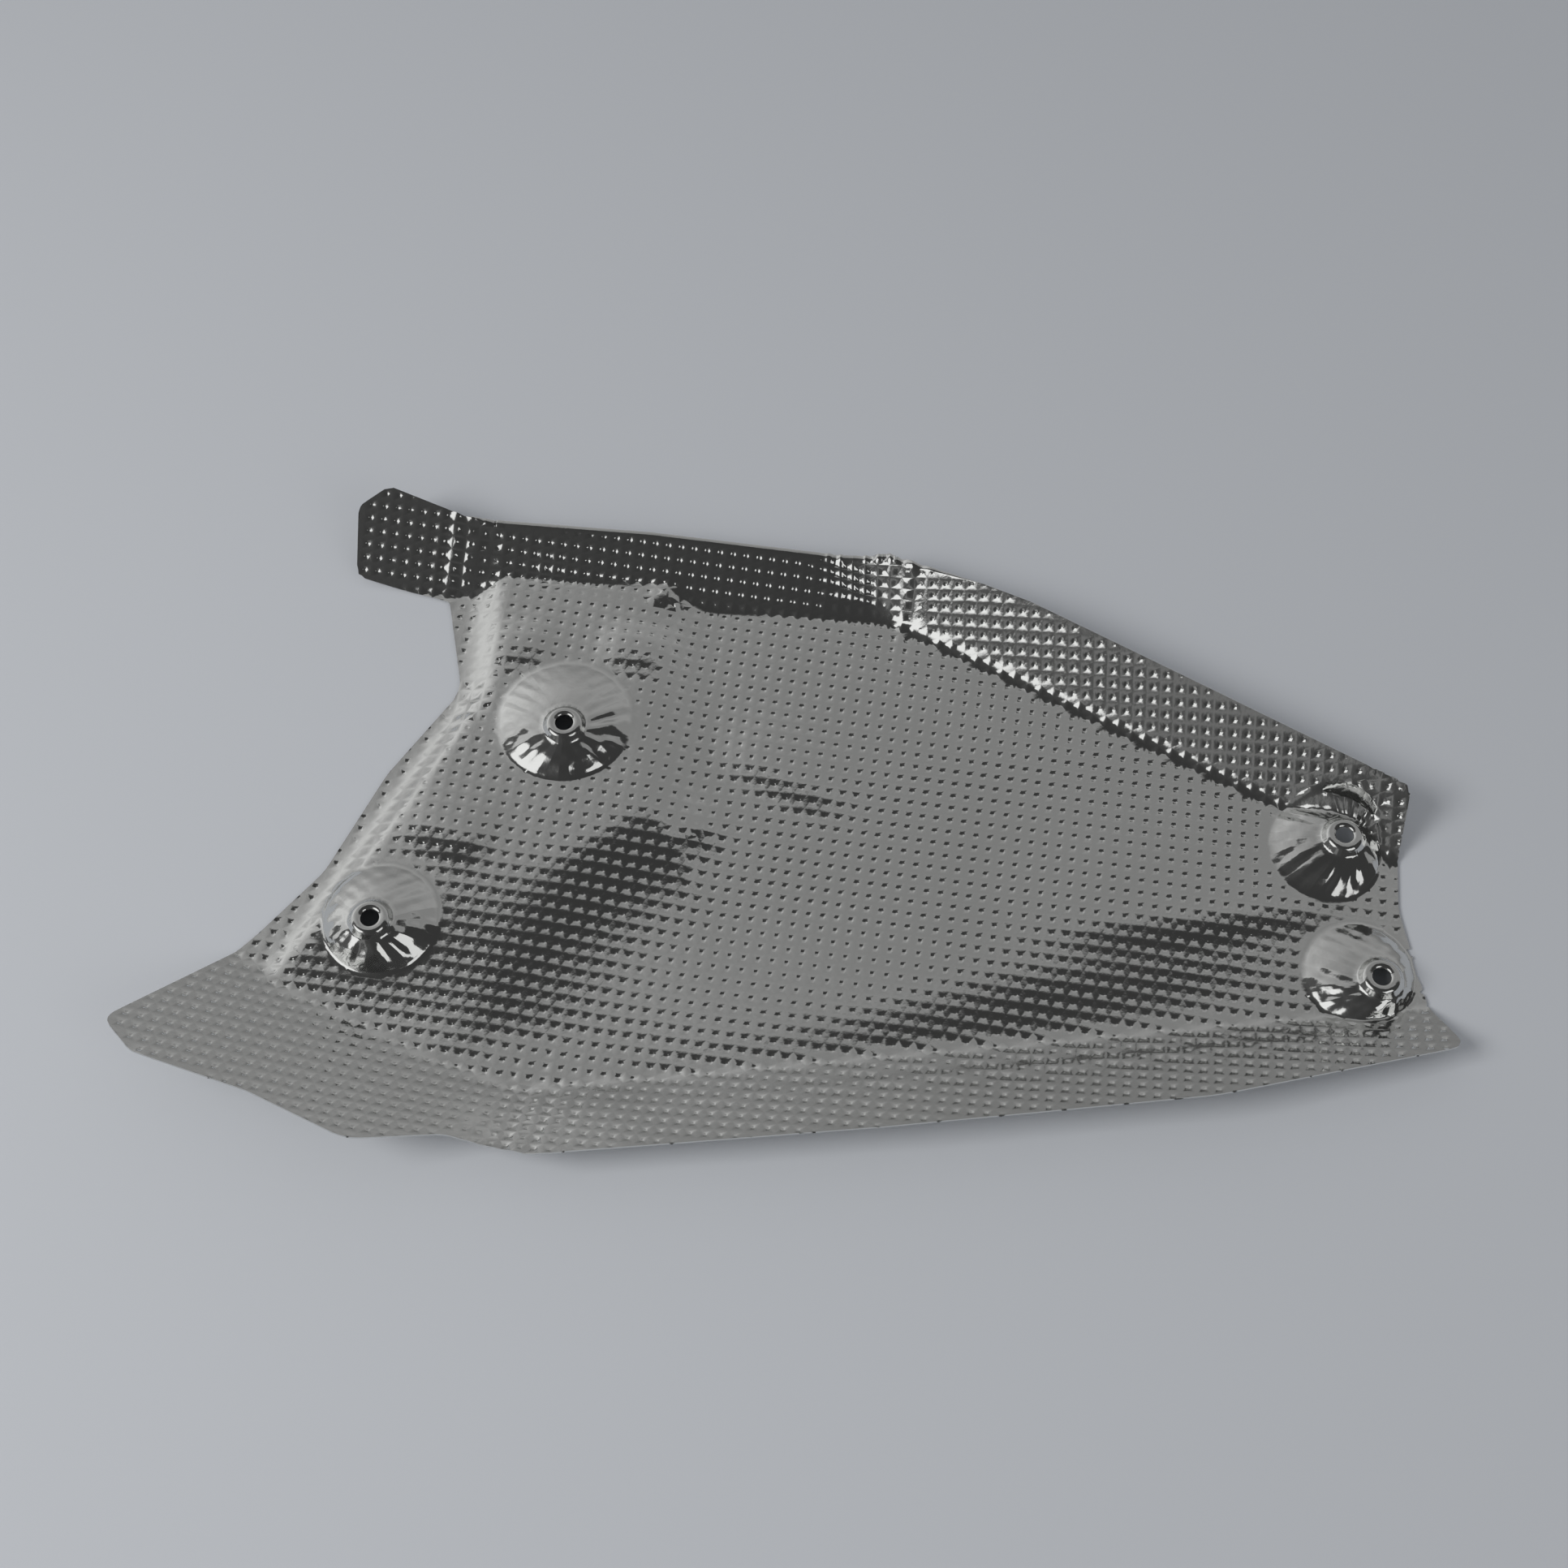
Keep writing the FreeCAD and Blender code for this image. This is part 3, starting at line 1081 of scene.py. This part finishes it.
    def _roll_hem(self, sheet: SheetMesh, ring: List[int]) -> None:
        """Roll the wall's upper edge back into a narrow hem.

        Args:
            sheet: The sheet being made.
            ring: Points of the sheet along the foot of the hem.
        """
        previous = sorted(ring, key=lambda index: sheet.plan[index][0])
        foot = np.array([sheet.plan[index] for index in previous])
        level = np.array([sheet.heights[index] for index in previous])
        wall = self.form.flange("wall")
        width = self.hem.width_at(foot)
        slope = math.tan(math.radians(wall.bend))
        for part in self.hem.parts:
            plan = foot + (width * part)[:, None] * wall.outward
            height = level + slope * width * (part - self.hem.droop * part * part)
            height = np.minimum(height, self.form.highest)
            current = [sheet.add(place, float(rise)) for place, rise in zip(plan, height)]
            for index in range(len(current) - 1):
                sheet.faces.append((previous[index], previous[index + 1], current[index + 1], current[index]))
            previous = current

    def _cells(self) -> Tuple[Array, List[Tuple[int, ...]], Array]:
        """Lay out every cell of the lattice: its corners, the rim of its dent and the dent's floor.

        Returns:
            The points in cells, the faces and each point's share of the dent depth.
        """
        lat = self.lattice
        first_column, last_column = lat.columns
        first_row, last_row = lat.rows
        wide = last_column - first_column + 1
        grid_x, grid_y = np.meshgrid(
            np.arange(first_column, last_column + 1), np.arange(first_row, last_row + 1)
        )
        points: List[Array] = [np.stack([grid_x.ravel(), grid_y.ravel()], axis=1).astype(float)]
        base = len(points[0])
        angles = np.arange(lat.sides) * 2.0 * math.pi / lat.sides
        circle = np.stack([np.cos(angles), np.sin(angles)], axis=1) / lat.pitch
        pattern = np.vstack([circle * lat.dent_radius, circle * lat.dent_floor, np.zeros((1, 2))])
        shares = np.concatenate([np.zeros(lat.sides), np.full(lat.sides, lat.floor_share), np.ones(1)])
        per_cell = len(pattern)
        faces: List[Tuple[int, ...]] = []
        dents: List[Array] = [np.zeros(base)]
        corner_angles = np.radians([45.0, 135.0, 225.0, 315.0])
        centres = []
        number = base
        for row in range(last_row - first_row):
            for column in range(wide - 1):
                corners = [
                    (row + 1) * wide + column + 1,
                    (row + 1) * wide + column,
                    row * wide + column,
                    row * wide + column + 1,
                ]
                centres.append((first_column + column + 0.5, first_row + row + 0.5))
                rim = [number + k for k in range(lat.sides)]
                floor = [number + lat.sides + k for k in range(lat.sides)]
                middle = number + 2 * lat.sides
                faces.extend(self._collar(corners, corner_angles, rim, angles))
                for k in range(lat.sides):
                    after = (k + 1) % lat.sides
                    faces.append((rim[k], rim[after], floor[after], floor[k]))
                    faces.append((floor[k], floor[after], middle))
                number += per_cell
        centre_array = np.array(centres)
        points.append((centre_array[:, None, :] + pattern[None, :, :]).reshape(-1, 2))
        dents.append(np.tile(shares, len(centre_array)))
        return np.vstack(points), faces, np.concatenate(dents)

    @staticmethod
    def _collar(
        corners: Sequence[int], corner_angles: Array, rim: Sequence[int], rim_angles: Array
    ) -> List[Tuple[int, ...]]:
        """Join a cell's square edge to the rim of its dent.

        Args:
            corners: The cell's corner points, anticlockwise from the upper right.
            corner_angles: Their directions from the middle.
            rim: The points of the dent's rim, anticlockwise.
            rim_angles: Their directions from the middle.

        Returns:
            Triangles, anticlockwise from above.
        """
        faces: List[Tuple[int, ...]] = []
        outer = 0
        inner = 1
        total_outer = len(corners)
        total_inner = len(rim)
        full = 2.0 * math.pi
        for _ in range(total_outer + total_inner):
            ahead_outer = corner_angles[(outer + 1) % total_outer] + full * ((outer + 1) // total_outer)
            ahead_inner = rim_angles[(inner + 1) % total_inner] + full * ((inner + 1) // total_inner)
            here_outer = corners[outer % total_outer]
            here_inner = rim[inner % total_inner]
            if ahead_outer <= ahead_inner:
                faces.append((here_outer, corners[(outer + 1) % total_outer], here_inner))
                outer += 1
            else:
                faces.append((here_outer, rim[(inner + 1) % total_inner], here_inner))
                inner += 1
        return faces

    def _set_boss(self, sheet: SheetMesh, boss: Boss, ring: List[int]) -> None:
        """Fill the round gap left for one boss with its skirt, neck and holed top.

        Args:
            sheet: The sheet being made.
            boss: The boss to set in.
            ring: Points of the sheet around the gap.
        """
        skirt = np.array(boss.skirt)
        neck = np.array(boss.neck)
        deck = self.form.deck
        arms = np.array([sheet.plan[index] for index in ring]) - skirt
        order = np.argsort(np.arctan2(arms[:, 1], arms[:, 0]))
        previous = [ring[index] for index in order]
        angles = np.arctan2(arms[order, 1], arms[order, 0])
        unit = np.stack([np.cos(angles), np.sin(angles)], axis=1)
        rim_heights = np.array([sheet.heights[index] for index in previous])
        for part, radius, rise in self.boss_shape.rings(boss.skirt_radius):
            plan = skirt + (neck - skirt) * part + unit * radius
            ideal = np.full(len(plan), self.form.level + rise)
            if boss.level is Level.DECK:
                ideal = ideal + deck.rise * part + deck.sagged(plan) * (1.0 - part)
            if part < 1.0:
                ideal = ideal + self.boss_shape.rumpled(part, plan, angles, boss.creases)
            panel = np.minimum(self.form.height(plan), ideal + self.flange_room)
            height = smooth_max(ideal, panel, self.flange_blend)
            if part < self.seam_part:
                height = 0.5 * height + 0.5 * rim_heights
            current = [sheet.add(place, float(level)) for place, level in zip(plan, height)]
            count = len(current)
            for index in range(count):
                after = (index + 1) % count
                sheet.faces.append((previous[index], previous[after], current[after], current[index]))
            previous = current

    def _to_object(self, sheet: SheetMesh) -> bpy.types.Object:
        """Write the sheet's upper face as an object, in metres.

        Args:
            sheet: The finished points and faces.

        Returns:
            The object, with its dents held in an attribute.
        """
        plan = np.array(sheet.plan)
        points = np.column_stack([plan, np.array(sheet.heights)]) * MM
        mesh = bpy.data.meshes.new("heat_shield_upper")
        mesh.from_pydata(points.tolist(), [], sheet.faces)
        dent = mesh.attributes.new("dent", "FLOAT", "POINT")
        dent.data.foreach_set("value", np.array(sheet.dents, dtype=np.float32))
        mesh.polygons.foreach_set("use_smooth", np.ones(len(mesh.polygons), dtype=bool))
        mesh.update()
        piece = bpy.data.objects.new("embossed_sheet", mesh)
        bpy.context.scene.collection.objects.link(piece)
        return piece

    def _emboss_tree(self) -> Tuple[bpy.types.NodeTree, Dict[str, str]]:
        """Build the node tree that presses the dents in.

        Returns:
            The tree and the identifiers of its inputs by name.
        """
        tree = bpy.data.node_groups.new("emboss_dents", "GeometryNodeTree")
        tree.is_modifier = True
        face = tree.interface
        face.new_socket("Sheet", in_out="INPUT", socket_type="NodeSocketGeometry")
        depth = face.new_socket("Dent depth", in_out="INPUT", socket_type="NodeSocketFloat")
        finish = face.new_socket("Finish", in_out="INPUT", socket_type="NodeSocketMaterial")
        face.new_socket("Sheet", in_out="OUTPUT", socket_type="NodeSocketGeometry")
        nodes = tree.nodes
        links = tree.links
        start = nodes.new("NodeGroupInput")
        dent = nodes.new("GeometryNodeInputNamedAttribute")
        dent.data_type = "FLOAT"
        dent.inputs["Name"].default_value = "dent"
        normal = nodes.new("GeometryNodeInputNormal")
        size = nodes.new("ShaderNodeMath")
        size.operation = "MULTIPLY"
        down = nodes.new("ShaderNodeMath")
        down.operation = "MULTIPLY"
        down.inputs[1].default_value = -1.0
        offset = nodes.new("ShaderNodeVectorMath")
        offset.operation = "SCALE"
        press = nodes.new("GeometryNodeSetPosition")
        real = nodes.new("GeometryNodeRealizeInstances")
        paint = nodes.new("GeometryNodeSetMaterial")
        end = nodes.new("NodeGroupOutput")
        links.new(dent.outputs["Attribute"], size.inputs[0])
        links.new(start.outputs["Dent depth"], size.inputs[1])
        links.new(size.outputs[0], down.inputs[0])
        links.new(normal.outputs["Normal"], offset.inputs[0])
        links.new(down.outputs[0], offset.inputs["Scale"])
        links.new(start.outputs["Sheet"], press.inputs["Geometry"])
        links.new(offset.outputs["Vector"], press.inputs["Offset"])
        links.new(press.outputs["Geometry"], real.inputs["Geometry"])
        links.new(real.outputs["Geometry"], paint.inputs["Geometry"])
        links.new(start.outputs["Finish"], paint.inputs["Material"])
        links.new(paint.outputs["Geometry"], end.inputs["Sheet"])
        return tree, {"depth": depth.identifier, "finish": finish.identifier}

    def _emboss(self, upper: bpy.types.Object) -> None:
        """Press the dents into the sheet.

        Args:
            upper: The smooth upper face.
        """
        tree, sockets = self._emboss_tree()
        modifier = upper.modifiers.new("emboss", "NODES")
        modifier.node_group = tree
        modifier[sockets["depth"]] = self.lattice.dent_depth * MM
        modifier[sockets["finish"]] = self.finish.build()
        self._apply(upper)

    def _thicken(self, sheet: bpy.types.Object) -> None:
        """Give the sheet its gauge, below its upper face, with fewer faces on the underside.

        Args:
            sheet: The embossed upper face.
        """
        underside = sheet.vertex_groups.new(name="underside")
        modifier = sheet.modifiers.new("gauge", "SOLIDIFY")
        modifier.thickness = self.gauge * MM
        modifier.offset = -1.0
        modifier.use_even_offset = False
        modifier.shell_vertex_group = underside.name
        fewer = sheet.modifiers.new("fewer_faces", "DECIMATE")
        fewer.ratio = self.kept_faces
        fewer.vertex_group = underside.name
        self._apply(sheet)
        sheet.vertex_groups.clear()
        sheet.data.set_sharp_from_angle(angle=math.radians(self.sharp_angle))
        shading = sheet.modifiers.new("flat_lands", "WEIGHTED_NORMAL")
        shading.mode = "FACE_AREA"
        shading.weight = self.land_weight
        shading.keep_sharp = True
        self._apply(sheet)

    @staticmethod
    def _apply(piece: bpy.types.Object) -> None:
        """Turn a piece's modifiers into a plain mesh.

        Args:
            piece: The piece, which keeps no modifier.
        """
        graph = bpy.context.evaluated_depsgraph_get()
        graph.update()
        mesh = bpy.data.meshes.new_from_object(piece.evaluated_get(graph), depsgraph=graph)
        piece.modifiers.clear()
        piece.data = mesh


@dataclass(frozen=True)
class Lamp:
    """A square lamp that points at the shield, with its place and side in metres and its power in watts."""

    name: str
    spot: Tuple[float, float, float]
    size: float
    power: float
    mirrored: bool = True

    def build(self) -> None:
        """Hang the lamp."""
        data = bpy.data.lights.new(self.name, "AREA")
        data.size = self.size
        data.energy = self.power
        lamp = bpy.data.objects.new(self.name, data)
        lamp.location = self.spot
        lamp.rotation_euler = (-Vector(self.spot)).to_track_quat("-Z", "Y").to_euler()
        lamp.visible_glossy = self.mirrored
        bpy.context.scene.collection.objects.link(lamp)


@dataclass
class Studio:
    """Table, soft light and the camera at the photograph's angle.  The table's radius is in metres."""

    centre: Tuple[float, float, float] = (-1.5, 11.5, 0.9)
    eye: Tuple[float, float, float] = (-1.5, -291.1, 537.9)
    lens: float = 48.45
    sensor_width: float = 36.0
    clip_start: float = 0.01
    table_colour: Tuple[float, float, float, float] = (0.60, 0.615, 0.64, 1.0)
    table_roughness: float = 0.7
    table_radius: float = 6.0
    table_sides: int = 96
    even_colour: Tuple[float, float, float, float] = (0.31, 0.32, 0.335, 1.0)
    room_glow: Tuple[Tuple[float, float], ...] = (
        (0.5, 0.20),
        (14.0, 0.26),
        (30.0, 0.38),
        (56.0, 0.275),
        (63.0, 0.285),
        (68.0, 0.325),
        (73.0, 0.045),
        (179.0, 0.05),
    )
    side_span: Point = (-0.85, 0.05)
    side_levels: Point = (2.1, 1.0)
    strip_rise: Point = (-0.61, -0.51)
    strip_fall: Point = (-0.51, -0.41)
    strip_turn: Point = (0.74, 0.82)
    strip_glow: float = 0.12
    card_heading: Tuple[float, float, float] = (-0.74, -0.33, 0.585)
    card_span: Point = (0.91, 0.955)
    card_glow: float = 1.0
    lamps: Tuple[Lamp, ...] = (
        Lamp("key_lamp", (-0.95, -0.35, 1.0), 0.6, 9.8, mirrored=False),
        Lamp("window_lamp", (0.85, -0.9, 0.85), 0.8, 1.7),
    )

    def build(self) -> None:
        """Set up the whole studio."""
        self._table()
        self._sky()
        for lamp in self.lamps:
            lamp.build()
        self._camera()
        bpy.context.scene.view_settings.view_transform = "Standard"

    def _table(self) -> None:
        """Lay a large round table under the shield."""
        mesh = bpy.data.meshes.new("table")
        radius = self.table_radius
        turns = [2.0 * math.pi * step / self.table_sides for step in range(self.table_sides)]
        rim = [(radius * math.cos(turn), radius * math.sin(turn), 0.0) for turn in turns]
        mesh.from_pydata(rim, [], [tuple(range(self.table_sides))])
        table = bpy.data.objects.new("table", mesh)
        bpy.context.scene.collection.objects.link(table)
        material = bpy.data.materials.new("pale_table")
        material.use_nodes = True
        shader = material.node_tree.nodes["Principled BSDF"]
        shader.inputs["Base Color"].default_value = self.table_colour
        shader.inputs["Roughness"].default_value = self.table_roughness
        mesh.materials.append(material)

    def _sky(self) -> None:
        """Light the table evenly, and give the metal a room to mirror."""
        world = bpy.data.worlds.new("soft_room")
        bpy.context.scene.world = world
        world.use_nodes = True
        tree = world.node_tree
        links = tree.links
        room = tree.nodes["Background"]
        grey = tree.nodes.new("ShaderNodeCombineColor")
        level = self._mirrored_room(tree)
        for channel in ("Red", "Green", "Blue"):
            links.new(level, grey.inputs[channel])
        links.new(grey.outputs["Color"], room.inputs["Color"])
        even = tree.nodes.new("ShaderNodeBackground")
        even.inputs["Color"].default_value = self.even_colour
        ray = tree.nodes.new("ShaderNodeLightPath")
        mix = tree.nodes.new("ShaderNodeMixShader")
        links.new(ray.outputs["Is Glossy Ray"], mix.inputs["Fac"])
        links.new(even.outputs["Background"], mix.inputs[1])
        links.new(room.outputs["Background"], mix.inputs[2])
        links.new(mix.outputs["Shader"], tree.nodes["World Output"].inputs["Surface"])

    def _mirrored_room(self, tree: bpy.types.NodeTree) -> bpy.types.NodeSocket:
        """Grade the room that the metal mirrors: pale behind, dark in front, with a card at the left.

        Args:
            tree: The world's nodes.

        Returns:
            The socket that holds the room's level.
        """
        place = tree.nodes.new("ShaderNodeTexCoord").outputs["Generated"]
        split = tree.nodes.new("ShaderNodeSeparateXYZ")
        tree.links.new(place, split.inputs["Vector"])
        lean = self._math(tree, "ARCTAN2", split.outputs["Z"], split.outputs["Y"])
        turn = tree.nodes.new("ShaderNodeMath")
        turn.operation = "DIVIDE"
        turn.inputs[1].default_value = math.pi
        tree.links.new(lean, turn.inputs[0])
        glow = tree.nodes.new("ShaderNodeValToRGB")
        stops = glow.color_ramp.elements
        for angle, level in self.room_glow:
            stop = stops.new(angle / 180.0)
            stop.color = (level, level, level, 1.0)
        stops.remove(stops[0])
        stops.remove(stops[-1])
        tree.links.new(turn.outputs[0], glow.inputs["Fac"])
        across = split.outputs["X"]
        side = map_range(tree, across, self.side_span, self.side_levels, Change.SOFT)
        room = self._math(tree, "MULTIPLY", glow.outputs["Color"], side)
        near = map_range(tree, across, self.strip_rise, (0.0, 1.0), Change.SOFT)
        far = map_range(tree, across, self.strip_fall, (1.0, 0.0), Change.SOFT)
        low = map_range(tree, turn.outputs[0], self.strip_turn, (0.0, self.strip_glow), Change.SOFT)
        strip = self._math(tree, "MULTIPLY", self._math(tree, "MULTIPLY", near, far), low)
        facing = tree.nodes.new("ShaderNodeVectorMath")
        facing.operation = "DOT_PRODUCT"
        facing.inputs[1].default_value = self.card_heading
        tree.links.new(place, facing.inputs[0])
        card = map_range(tree, facing.outputs["Value"], self.card_span, (0.0, self.card_glow), Change.SOFT)
        return self._math(tree, "ADD", self._math(tree, "ADD", room, strip), card)

    @staticmethod
    def _math(
        tree: bpy.types.NodeTree, operation: str, first: bpy.types.NodeSocket, second: bpy.types.NodeSocket
    ) -> bpy.types.NodeSocket:
        """Combine two values.

        Args:
            tree: The world's nodes.
            operation: Blender's name of the operation.
            first: First value.
            second: Second value.

        Returns:
            The socket that holds the outcome.
        """
        node = tree.nodes.new("ShaderNodeMath")
        node.operation = operation
        tree.links.new(first, node.inputs[0])
        tree.links.new(second, node.inputs[1])
        return node.outputs[0]

    def _camera(self) -> None:
        """Place the camera above the front edge, as in the photograph."""
        data = bpy.data.cameras.new("camera")
        data.sensor_width = self.sensor_width
        data.sensor_fit = "HORIZONTAL"
        data.lens = self.lens
        data.clip_start = self.clip_start
        camera = bpy.data.objects.new("camera", data)
        eye = Vector(self.eye) * MM
        camera.location = eye
        camera.rotation_euler = (Vector(self.centre) * MM - eye).to_track_quat("-Z", "Y").to_euler()
        bpy.context.scene.collection.objects.link(camera)
        bpy.context.scene.camera = camera


def main() -> None:
    """Load the frame, build the shield and set up the studio."""
    logging.basicConfig(level=logging.INFO)
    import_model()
    Studio().build()
    shield = HeatShield()
    piece = shield.build()
    shield.dress(piece)
    triangles = sum(len(face.vertices) - 2 for face in piece.data.polygons)
    LOG.info("%s: %d points, %d triangles", piece.name, len(piece.data.vertices), triangles)


if __name__ == "__main__":
    main()
